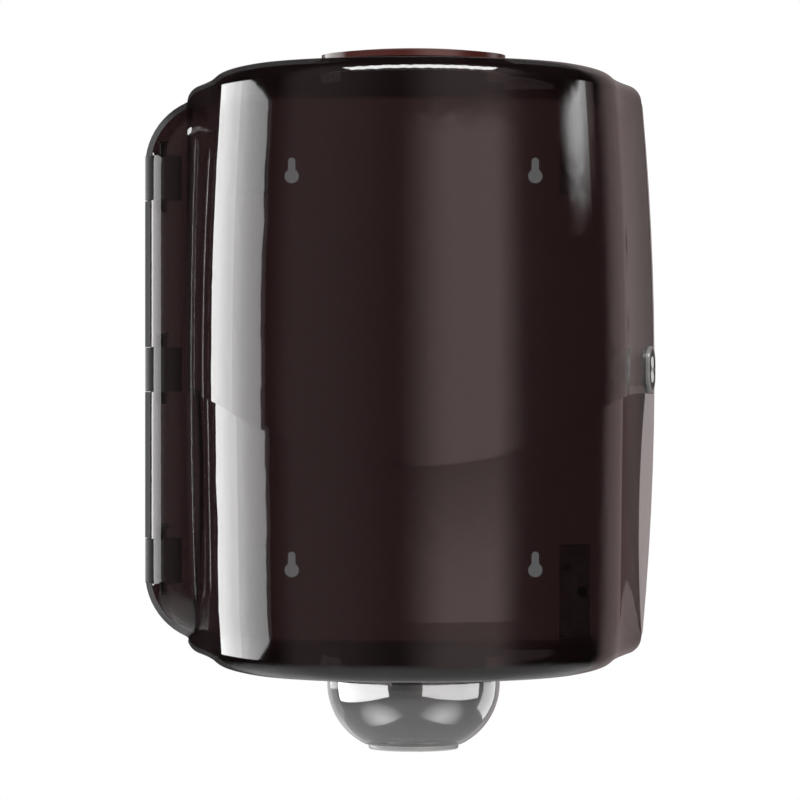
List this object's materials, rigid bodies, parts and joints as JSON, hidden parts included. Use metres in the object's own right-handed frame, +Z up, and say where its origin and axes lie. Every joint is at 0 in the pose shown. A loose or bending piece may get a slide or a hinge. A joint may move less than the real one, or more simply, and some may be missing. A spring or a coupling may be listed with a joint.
{
  "type": "paper towel dispenser",
  "caption": "Wall-mounted centrefeed paper towel dispenser with a swinging smoke cover, side key lock, red back plate and a twist-off round nozzle below.",
  "frame": {"origin": "middle of the four keyholes, on the plane of the wall", "axes": "+Z up, +Y into the wall so that the front faces -Y, +X towards the lock and -X towards the hinge"},
  "size_m": [0.3379, 0.2962, 0.4414],
  "materials": {
    "smoke_plastic": "high gloss, smoke-tinted and see-through",
    "red_plastic": "gloss, red and see-through",
    "bowl_plastic": "high gloss, grey and see-through",
    "pale_plastic": "gloss, pale grey",
    "dark_plastic": "satin black",
    "grey_plastic": "satin grey",
    "lock_plastic": "satin grey",
    "lock_metal": "polished",
    "steel": "plated"
  },
  "bodies": {
    "housing": {"back_plate": "red_plastic", "roll_shelf": "red_plastic", "top_shelf": "red_plastic", "top_dome": "red_plastic", "nozzle_neck": "red_plastic", "hinge_block_top": "dark_plastic", "hinge_block_middle": "dark_plastic", "hinge_block_bottom": "dark_plastic", "lower_left_bracket": "grey_plastic", "lower_right_bracket": "grey_plastic", "upper_left_bracket": "grey_plastic", "upper_right_bracket": "grey_plastic", "hinge_screws": "steel", "bracket_screws": "steel", "shelf_screws": "steel"},
    "cover": {"front_cover": "smoke_plastic", "hinge_pin_top": "steel", "hinge_pin_middle": "steel", "hinge_pin_bottom": "steel", "lock_case": "lock_plastic", "lock_nut": "dark_plastic"},
    "lock_plug": {"lock_plug": "lock_metal", "lock_washer": "steel", "lock_cam": "steel", "cam_screw": "steel"},
    "nozzle": {"nozzle_bowl": "bowl_plastic", "tear_ring": "pale_plastic"}
  },
  "joints": [
    {"name": "cover_hinge", "type": "hinge", "parent": "housing", "child": "cover", "pos_m": [-0.165, -0.024, 0], "axis": [0, 0, -1], "range_deg": [0, 105]},
    {"name": "lock_turn", "type": "hinge", "parent": "cover", "child": "lock_plug", "pos_m": [0.15555, -0.022, 0.0024], "axis": [0.9708, -0.24, 0], "range_deg": [0, 90]},
    {"name": "nozzle_twist", "type": "hinge", "parent": "housing", "child": "nozzle", "pos_m": [0, -0.15, 0], "axis": [0, 0, 1], "range_deg": [0, 40]}
  ]
}
